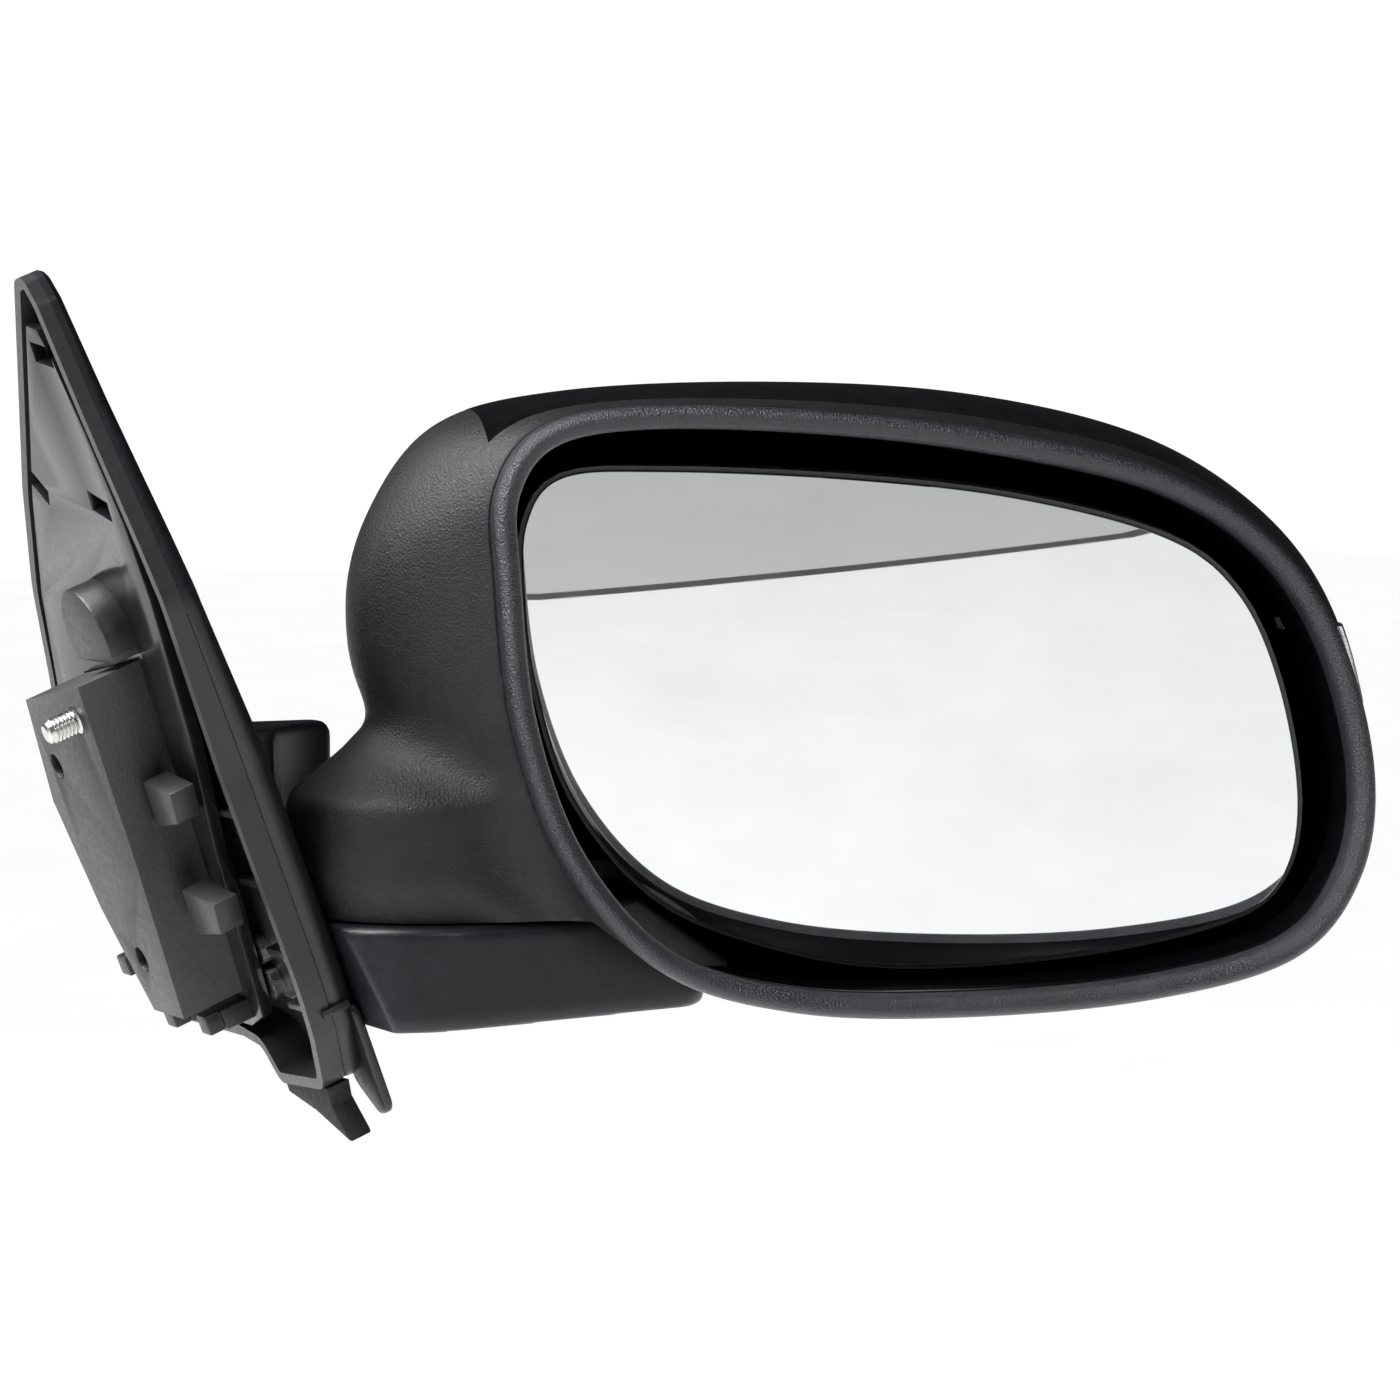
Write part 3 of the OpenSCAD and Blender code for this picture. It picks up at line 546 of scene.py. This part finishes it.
def head_rings(steps, flank, bowl, by=0.0, front=-4.0):
    """Rings of the head's form, moved in by a wall, from in front of the rim to the rounded front's pole."""
    rim = closed_curve(RIM_POINTS, steps)
    mid = closed_curve(MID_POINTS, steps)
    rings = [head_ring(inset(rim, by), d) for d in (front, SHELL_START)]
    for k in range(1, flank + 1):
        t = k / flank
        ring = rim + (mid - rim) * math.sin(math.radians(90 * t))
        rings.append(head_ring(inset(ring, by), SHELL_START + (MID_DEPTH - SHELL_START) * t))
    power = 2 / BOWL_FULLNESS
    last_angle = math.radians(88.5)
    for k in range(1, bowl + 1):
        angle = last_angle * k / bowl
        scale = math.cos(angle) ** power
        ring = BOWL_CENTRE + (mid - BOWL_CENTRE) * scale
        deep = MID_DEPTH + (BACK_DEPTH - by - MID_DEPTH) * math.sin(angle) ** power
        rings.append(head_ring(inset(ring, min(by, 60 * scale)), deep))
    return rings


FOOT_TOP = float(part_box("lower_detent_ring")[0].z) / MM - 0.02
SEAM = FOOT_TOP + 0.5
KNUCKLE_R = 33.0
KNUCKLE_TOP = 2.0
CROWN_R = 20.0
CROWN_TOP = 15.0
ARM_END = (44.0, -8.0)
ARM_END_R = 24.0
ARM_END_TOP = -6.0
FOOT_R = 65.0
FOOT_SHOULDER_R = 45.0
FOOT_END = -43.0
SAIL_T = 13.0
SAIL_WALL = 2.8
RUNNING_GAP = 0.6
FOLD_BEARINGS = (115, 255)


def sail_reach(z):
    """Distance from the fold axis to the sail's outer face, with a running gap, at a height."""
    return PIVOT[0] - (SAIL_T + RUNNING_GAP - z * DOOR_NORMAL[2]) / DOOR_NORMAL[0]


def clear_of_sail(by):
    """What the leaning sail leaves for the knuckle, whichever way the head is folded."""
    first, last = [math.radians(v) for v in FOLD_BEARINGS]
    steps = 28
    points = []
    for z in (SEAM - 10, SEAM + 90):
        r = sail_reach(z) - by
        for k in range(steps + 1):
            t = first + (last - first) * k / steps
            points.append((PIVOT[0] + r * math.cos(t), PIVOT[1] + r * math.sin(t), z))
        for t, way in ((last, 1), (first, -1)):
            x = r * math.cos(t) - way * BEYOND * math.sin(t)
            y = r * math.sin(t) + way * BEYOND * math.cos(t)
            points.append((PIVOT[0] + x, PIVOT[1] + y, z))
    return hull_object("clear", points)


def arm_hull(by):
    """The arm's form, every face moved in by a distance."""
    x, y = PIVOT[:2]
    end_x, end_y = x + ARM_END[0], y + ARM_END[1]
    low = SEAM - 12 + by
    return hull_object("arm", np.concatenate([
        circle(x, y, low, KNUCKLE_R - by),
        circle(x, y, KNUCKLE_TOP - by * 0.6, KNUCKLE_R - by),
        circle(x, y, CROWN_TOP - by, CROWN_R - by),
        circle(end_x, end_y, low, ARM_END_R - by),
        circle(end_x, end_y, ARM_END_TOP - by, ARM_END_R - by)]))


def sweep_cutter(grow):
    """The space that the foot's end sweeps through as the head folds."""
    outer = FOOT_R + 3 + grow
    profile = [(outer, -BEYOND), (outer, FOOT_END + 2 + grow), (FOOT_SHOULDER_R + 2 + grow, SEAM + grow)]
    rings = [circle(PIVOT[0], PIVOT[1], z, r, 128) for r, z in profile]
    return loft("sweep", rings, None)


def head_block(name, low, high):
    """A box between two (across, deep, up) corners of the head's frame."""
    corners = [(low[0], low[1]), (high[0], low[1]), (high[0], high[1]), (low[0], high[1])]
    rings = [from_head([(x, y, z) for x, y in corners]) for z in (low[2], high[2])]
    return loft(name, rings, None)


def cap_block(gap):
    """The region of the head's skin that the cap covers, grown by a gap."""
    return head_block("cap_region", [v - gap for v in CAP_CORNER], (300, 130, 130))


def lens_block(gap):
    """The region of the cap that the lens fills, grown by a gap."""
    low, high = LENS_CORNERS
    return head_block("lens_region", [v - gap for v in low], (high[0], high[1] + gap, high[2] + gap))


def head_field():
    """Distances to the head's form with the arm blended on."""
    boxes = [np.array(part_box(node)) / MM for node in ("head_housing", "skull_cap")]
    low = np.minimum(boxes[0][0], boxes[1][0]) - [8, 14, 22]
    high = np.maximum(boxes[0][1], boxes[1][1]) + [8, 8, 8]
    field = Field(low, high, VOXEL)
    form = loft("form", head_rings(8, 10, 20), None)
    rounding = 5.0
    arm = arm_hull(rounding)
    boolean(arm, clear_of_sail(rounding), "INTERSECT")
    reach = 14.0
    fillet = 11.0
    blended = smooth_union(field.of(form, reach), field.of(arm, reach + rounding) - rounding, fillet)
    drop(form, arm)
    return field, blended


def housing():
    """The textured shell: the head's flanks, its underside and the knuckle, less the cap's part."""
    field, values = head_field()
    shell = field.mesh("housing_shell", values, FINISH["textured_black"])
    relax(shell, 4)
    core = field.mesh("core", values + WALL, None)
    relax(core, 2)
    boolean(core, sweep_cutter(WALL))
    boolean(shell, core)
    boolean(shell, sweep_cutter(0))
    boolean(shell, cap_block(SKIN_GAP))
    boolean(shell, head_block("rim_cut", (-200, -60, -BEYOND), (200, SHELL_START, BEYOND)))
    post_hole_r = 27
    hole = loft("hole", [circle(PIVOT[0], PIVOT[1], z, post_hole_r, 96) for z in (SEAM - 8, SEAM + 10)], None)
    boolean(shell, hole)
    shade(shell, 32)
    return finish_piece(shell, "head", "head_housing")


def cap():
    """The gloss cap over the upper front of the head, with the lens opening."""
    shell = loft("skull_cap_skin", head_rings(24, 24, 64), FINISH["gloss_black"])
    inner = loft("inner", head_rings(24, 24, 64, WALL, -8.0), None)
    boolean(shell, inner)
    boolean(shell, cap_block(0), "INTERSECT")
    boolean(shell, lens_block(SKIN_GAP))
    shade(shell, 32)
    return finish_piece(shell, "head", "skull_cap")


def lens():
    """The clear strip, a little proud of the cap."""
    shell = loft("signal_lens_skin", head_rings(24, 60, 80, -LENS_PROUD), FINISH["lens_clear"])
    inner = loft("inner", head_rings(24, 24, 64, WALL, -8.0), None)
    boolean(shell, inner)
    boolean(shell, lens_block(0), "INTERSECT")
    shade(shell, 32)
    return finish_piece(shell, "head", "signal_lens")


def bezel():
    """The rim's rounded bead."""
    half_width, height = 2.4, 3.6
    turns = [math.radians(a) for a in range(0, 121, 8)]
    crest = [(half_width * (1 - math.cos(t)), height * (1 - math.sin(t))) for t in turns]
    inner = [(4.3, 1.0), (4.75, 1.5), (5.05, 2.1), (5.3, 3.0), (5.5, 4.4)]
    section = [(0.0, BEAD_DEPTH)] + crest + inner + [(BEAD_WIDTH, BEAD_DEPTH)]
    ring = ring_sweep("rim_bead", section, FINISH["textured_bead"])
    return finish_piece(ring, "head", "rim_bezel")


def funnel():
    """The gloss funnel that runs back from the bead to the glass."""
    low = BEAD_DEPTH + 0.1
    outer = [(3.2, low), (3.8, 13), (4.7, 18), (5.45, 24)]
    back = [(5.6, 24), (6.15, 24), (6.25, 23.8)]
    inner = [(6.15, 21), (6.0, 18), (5.85, 14), (5.7, 10), (5.6, low + 0.4), (5.5, low)]
    ring = ring_sweep("funnel_wall", outer + back + inner, FINISH["gloss_black"])
    return finish_piece(ring, "head", "inner_funnel")


def mirror():
    """The curved glass with a fine ground edge."""
    radius, front, thick = 1400.0, 15.0, 2.2
    outline = closed_curve(GLASS_POINTS, 12) - [GLASS_PIVOT_LOCAL[0], 0]
    middle = outline.mean(0)

    def skin(ring, back):
        r = radius - back
        deep = radius - front - np.sqrt(r * r - (ring ** 2).sum(1))
        return from_glass(np.column_stack([ring[:, 0], deep, ring[:, 1]]))

    def shrunk(scale):
        return middle + (outline - middle) * scale

    edge = [(0.15, 0), (0.03, 0.06), (0, 0.3), (0, thick - 0.3), (0.3, thick)]
    rings = [skin(shrunk(scale), 0) for scale in [0.02] + [k / 24 for k in range(1, 24)]]
    rings += [skin(inset(outline, by), back) for by, back in edge]
    rings += [skin(shrunk(scale), thick) for scale in (0.8, 0.4, 0.02)]
    obj = loft("glass_plate", rings, FINISH["mirror_silver"], 12)
    return finish_piece(obj, "glass", "mirror_glass")


# ---------------------------------------------------------------- sail and foot

# (forward, up the lean) corners of the sail, clockwise from its top, and each corner's radius
SAIL_POINTS = [
    (-43, 125), (-40, 132), (-34, 131), (-4, 101), (18, 79), (40, 53), (54, 29), (70, 4),
    (76, -20), (73, -31), (61, -46), (51, -64), (14, -63.5), (4, -65), (0, -74), (-29, -72),
    (-36, -58), (-39, -45), (-41, -20), (-43, 8), (-50, 52), (-49, 66), (-45, 100)]
SAIL_RADII = [5, 5, 5, 60, 60, 60, 60, 40, 12, 12, 25, 6, 5, 4, 4, 6, 25, 60, 60, 60, 30, 30, 60]


def sail_thickness(s):
    """The sail's depth at a height up the lean."""
    thinner = np.interp(s, [15, 45, 90, 140], [0, 3.2, 5, 6.5])
    return SAIL_T - thinner


def filled(outline, spacing=7.0):
    """Triangles that fill an outline, with points inside so the face can curve."""
    low, high = outline.min(0), outline.max(0)
    loop = [Vector(p) for p in outline]
    n = len(loop)
    inner = []
    for x in np.arange(low[0], high[0], spacing):
        for y in np.arange(low[1], high[1], spacing):
            inside = False
            gap = math.inf
            for i in range(n):
                a, b = outline[i], outline[(i + 1) % n]
                if (a[1] > y) != (b[1] > y) and x < a[0] + (y - a[1]) * (b[0] - a[0]) / (b[1] - a[1]):
                    inside = not inside
                gap = min(gap, math.hypot(a[0] - x, a[1] - y))
            if inside and gap > spacing * 0.6:
                inner.append(Vector((x, y)))
    edges = [(i, (i + 1) % n) for i in range(n)]
    verts, _, faces, _, _, _ = delaunay_2d_cdt(loop + inner, edges, [], 1, 1e-4)
    return np.array([tuple(v) for v in verts]), faces


def sail_solid(name, outline, low, rows, top_by, material):
    """A solid on the door plane: walls through (inset, share of the thickness) rows, and a curved outer face.

    Rows with a small inset draw the step round the edge, which fades out towards the sail's top.
    """
    n = len(outline)
    verts = [np.column_stack([np.full(n, low), outline])]
    step_depth = 0.6
    step_fade = np.clip((30 - outline[:, 1]) / 20, 0, 1)[:, None]
    for by, share in rows:
        fade = step_fade if by < step_depth else 1.0
        ring = outline + (inset(outline, by) - outline) * fade
        verts.append(np.column_stack([share * (sail_thickness(outline[:, 1]) - top_by), ring]))
    faces = grid_faces(len(verts), n)
    top, tris = filled(verts[-1][:, 1:])
    base = len(verts) * n
    height = sail_thickness(top[:, 1]) - top_by
    verts.append(np.column_stack([height, top]))
    faces += [tuple(base + i for i in t) for t in tris]
    faces.append(tuple(range(n)))
    obj = new_object(name, from_sail(np.concatenate(verts)), faces, material)
    bm = bmesh.new()
    bm.from_mesh(obj.data)
    bmesh.ops.remove_doubles(bm, verts=bm.verts, dist=0.05 * MM)
    bmesh.ops.holes_fill(bm, edges=bm.edges, sides=0)
    bmesh.ops.recalc_face_normals(bm, faces=bm.faces)
    bm.to_mesh(obj.data)
    bm.free()
    return obj


def join(objects):
    """One object from several; the first one's name and material stay."""
    target = objects[0]
    bm = bmesh.new()
    for o in objects:
        bm.from_mesh(o.data)
    bm.to_mesh(target.data)
    bm.free()
    drop(*objects[1:])
    return target


def sail():
    """The sail cover: a thin hollow shell with a soft outer edge, ribs inside and a curled lip below."""
    outline = rounded_polygon(SAIL_POINTS, SAIL_RADII, 8)
    step = [(0.0, 0.44), (0.45, 0.47), (0.1, 0.56), (0.0, 0.7)]
    crown = [(0.65, 0.84), (1.7, 0.93), (3.0, 0.98), (4.4, 1.0)]
    shell = sail_solid("sail_skin", outline, 0.0, step + crown, 0.0, FINISH["satin_black"])
    pocket = sail_solid("pocket", inset(outline, SAIL_WALL), -1.0, [(0.0, 1.0)], SAIL_WALL, None)
    boolean(shell, pocket)
    bevel(shell, 0.5, 2, 50)
    lip_corners = [(-38, -52), (-35, -82), (-29, -83.5), (-21, -76), (-20, -60)]
    lip = prism("lip", rounded_polygon(lip_corners, [3, 5, 3, 6, 3]), SAIL_T - 2.6, SAIL_T - 0.3)
    bevel(lip, 0.9, 3, 50)
    parts = [shell, lip]
    rib_thick = 1.8
    for s in (-4, -22, -40, -54):
        corners = [(-38.5, s), (-38.5, s + rib_thick), (-16, s + rib_thick), (-16, s)]
        rib = prism("rib", np.array(corners), 3.4, 10.4)
        bevel(rib, 0.3, 2, 50)
        parts.append(rib)
    obj = join(parts)
    shade(obj, 32)
    return finish_piece(obj, "base", "sail_cover")


def foot():
    """The foot with its tower: soft edges, hollow underneath, bored for the post."""
    low, high = [np.array(corner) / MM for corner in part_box("foot_arm")]
    field = Field(low - 4, high + 4, 0.9)
    axes = [field.low[i] + field.voxel * np.arange(field.shape[i]) for i in range(3)]
    x, y, z = np.meshgrid(*axes, indexing="ij")
    px, py = PIVOT[:2]
    r = np.hypot(x - px, y - py)
    outward = DOOR_NORMAL[0] * x + DOOR_NORMAL[2] * z
    floor = -51.5 + (x - 33) * math.tan(math.radians(2.4))

    def plan(by):
        reach = KNUCKLE_R - by
        square = np.maximum(px - x, np.abs(y - py) - reach)
        stub = np.maximum(x - px, np.maximum(-35 + by - y, y - (py + reach)))
        return smooth_max(smooth_union(np.minimum(r - reach, square), stub, 3), r - (FOOT_R - by), 5)

    slope = (FOOT_TOP - FOOT_END) / (FOOT_R - FOOT_SHOULDER_R)
    shoulder = (z - FOOT_TOP + slope * (r - FOOT_SHOULDER_R)) / math.hypot(1, slope)
    body = smooth_max(plan(0), np.maximum(z - FOOT_TOP, shoulder), 2.4)
    body = smooth_max(body, floor - z, 3.0)
    tower_top, tower_r = 17, 62
    knuckle_room = np.where(z < FOOT_TOP, -50.0, (KNUCKLE_R + 2.5) - r)
    sides = [(z - tower_top, 4.0), (floor + 5 - z, 3.0), (r - tower_r, 3.0), (knuckle_room, 1.5)]
    tower = np.maximum(np.maximum(-14 - y, y - (py + 42)), x - (px - 10))
    for side, rounding in sides:
        tower = smooth_max(tower, side, rounding)
    whole = np.maximum(smooth_union(body, tower, 2.0), SAIL_T + 0.05 - outward)
    core = np.maximum(np.maximum(plan(3.2), z - FOOT_TOP + 3), SAIL_T + 4 - outward)
    core = np.maximum(core, r - FOOT_R + 6)
    shell = field.mesh("foot_body", np.maximum(whole, -core), FINISH["satin_black"])
    relax(shell, 3)
    bore_r = 9.15
    boolean(shell, loft("bore", [circle(px, py, h, bore_r, 96) for h in (-60, 0)], None))
    shade(shell, 30)
    return finish_piece(shell, "base", "foot_arm")


def stud():
    """The threaded stud, with a chamfered end and its head inside the bracket."""
    forward, up = -6.0, 28.0
    rows = [(2.0, -24.0), (2.6, -23.5), (2.7, -22.8)]
    for k in range(6):
        rows += [(2.98, -22.3 + k), (2.98, -22.1 + k), (2.5, -21.7 + k)]
    rows += [(3.4, -16.0), (3.4, -12.0), (4.5, -11.9), (4.5, -9.2), (4.1, -9.0)]
    rings = [from_sail(circle(forward, up, out, r, 48)[:, [2, 0, 1]]) for r, out in rows]
    obj = loft("threaded_stud", rings, FINISH["zinc_steel"])
    return finish_piece(obj, "base", "mounting_stud")


def softened(node, width):
    """A CAD node of the base drawn again with its sharp edges rounded."""
    source = NODES[node]
    bm = bmesh.new()
    bm.from_mesh(source.data)
    bm.transform(source.matrix_world)
    bmesh.ops.remove_doubles(bm, verts=bm.verts, dist=0.01 * MM)
    bmesh.ops.dissolve_limit(bm, angle_limit=math.radians(1), verts=bm.verts, edges=bm.edges)
    mesh = bpy.data.meshes.new(node + "_soft")
    bm.to_mesh(mesh)
    bm.free()
    obj = bpy.data.objects.new(mesh.name, mesh)
    bpy.context.scene.collection.objects.link(obj)
    mesh.materials.append(FINISH[SLOTS[node]])
    bevel(obj, width, 2, 30)
    shade(obj, 32)
    return finish_piece(obj, "base", node)


# ---------------------------------------------------------------- camera and stage

EYE = Vector((-0.45583, -1.21871, 0.11413))
TARGET = Vector((0.11266, -0.05313, 0.02344))
LENS = 142.25
SURROUND = 0.02
FLOOR_Z = -0.40
FLOOR_EDGE = np.array([(-0.569, -1.429), (-0.003, -1.914)])
# name: (place, target, size, power), in metres and watts
LIGHTS = {
    "top": ((0.1, -0.6, 1.4), (0.12, -0.03, 0), (1.0, 0.6), 1),
    "left": ((-0.75, 0.1, 0.85), (0.08, -0.03, 0.02), (0.9, 0.7), 36),
    "front": ((0.5, -1.5, 1.0), (0.12, -0.03, 0), (0.9, 0.5), 0.5),
    "key": ((-0.05, -1.5, 0.75), (0.12, -0.05, 0), (0.18, 0.18), 3),
}


def aim(obj, place, target):
    """Stands a camera or a light at a place, looking at a target."""
    bpy.context.scene.collection.objects.link(obj)
    obj.location = place
    obj.rotation_mode = "QUATERNION"
    obj.rotation_quaternion = (Vector(target) - Vector(place)).to_track_quat("-Z", "Y")


def camera():
    """A low view from behind the glass and from its inboard side."""
    data = bpy.data.cameras.new("camera")
    data.sensor_width = 36
    data.lens = LENS
    data.clip_end = 100
    obj = bpy.data.objects.new("camera", data)
    aim(obj, EYE, TARGET)
    bpy.context.scene.camera = obj


def area_light(name, place, target, size, power):
    """A soft rectangular light."""
    data = bpy.data.lights.new(name, "AREA")
    data.shape = "RECTANGLE"
    data.size, data.size_y = size
    data.energy = power
    aim(bpy.data.objects.new(name, data), place, target)


def floor_material(name, glow):
    """Pale paper, with soft unevenness and a glow that stands for the light of a white room."""
    m, tree, shader, at = material(name)
    tone = noise(tree, at, 260.0, 5.0, 0.6)
    tree.links.new(ramp(tree, tone, (glow * 0.3,) * 3, (glow * 0.4,) * 3), shader.inputs["Base Color"])
    tree.links.new(ramp(tree, tone, 0.8, 0.95), shader.inputs["Roughness"])
    tree.links.new(ramp(tree, tone, (0.97, 0.97, 0.965), (1, 1, 1)), shader.inputs["Emission Color"])
    shader.inputs["Emission Strength"].default_value = glow
    return m


def surround():
    """A world that looks white and lights the object only a little."""
    world = bpy.data.worlds.new("world")
    bpy.context.scene.world = world
    world.use_nodes = True
    tree = world.node_tree
    background = tree.nodes["Background"]
    background.inputs["Color"].default_value = (SURROUND, SURROUND, SURROUND * 1.04, 1)
    shown = tree.nodes.new("ShaderNodeBackground")
    shown.inputs["Color"].default_value = (1, 1, 1, 1)
    shown.inputs["Strength"].default_value = 1.05
    path = tree.nodes.new("ShaderNodeLightPath")
    mix = tree.nodes.new("ShaderNodeMixShader")
    tree.links.new(path.outputs["Is Camera Ray"], mix.inputs["Fac"])
    tree.links.new(background.outputs[0], mix.inputs[1])
    tree.links.new(shown.outputs[0], mix.inputs[2])
    tree.links.new(mix.outputs[0], tree.nodes["World Output"].inputs["Surface"])


def floor_pieces():
    """A pale floor; before its slanted edge, a joint line and a duller sheet, all seen in the glass."""
    along = FLOOR_EDGE[1] - FLOOR_EDGE[0]
    along /= np.linalg.norm(along)
    spare = 2.4
    west = FLOOR_EDGE[0] - spare * along
    east = FLOOR_EDGE[1] + spare * along
    joint = np.array([0, -0.03])
    front = np.array([0, -4.0])
    wide, far = 6, 9
    drawn = {
        "floor": (0.98, [west, east, (wide, east[1]), (wide, far), (-wide, far), (-wide, west[1])]),
        "floor_joint": (0.10, [west + joint, east + joint, east, west]),
        "floor_front": (0.60, [west + front, east + front, east + joint, west + joint]),
    }
    for name, (glow, corners) in drawn.items():
        points = [(x, y, FLOOR_Z) for x, y in corners]
        sheet = new_object(name, np.array(points) / MM, [range(len(points))], floor_material(name, glow))


def stage():
    """The surround, the floor and soft light."""
    surround()
    floor_pieces()
    for name, (place, target, size, power) in LIGHTS.items():
        area_light(name, place, target, size, power)
    bpy.context.scene.view_settings.view_transform = "Standard"


# ---------------------------------------------------------------- carried-over nodes

SLOTS = {s["node"]: s["material_slot"] for s in frame["record"]["subparts"]}
PIECES = [housing, cap, lens, bezel, funnel, mirror, sail, foot, stud]
# CAD nodes that are drawn again with soft edges: the width of the rounding
SOFT = {"base_plate": 0.7, "base_bracket": 0.9, "bracket_clips": 0.5, "arch_tab": 0.8, "retaining_clips": 0.5,
        "belt_seal": 0.6, "foot_bottom_cover": 0.5}


def shade_only(obj):
    """Smooth shading with sharp edges, without touching the mesh's points."""
    for p in obj.data.polygons:
        p.use_smooth = True
    obj.data.set_sharp_from_angle(angle=math.radians(30))


def assign_finishes():
    """Each CAD node that stays takes its slot's finish."""
    for name, obj in NODES.items():
        obj.data.materials.clear()
        obj.data.materials.append(FINISH[SLOTS[name]])
        shade_only(obj)


assign_finishes()
for make in PIECES:
    make()
for node, width in SOFT.items():
    softened(node, width)
camera()
stage()
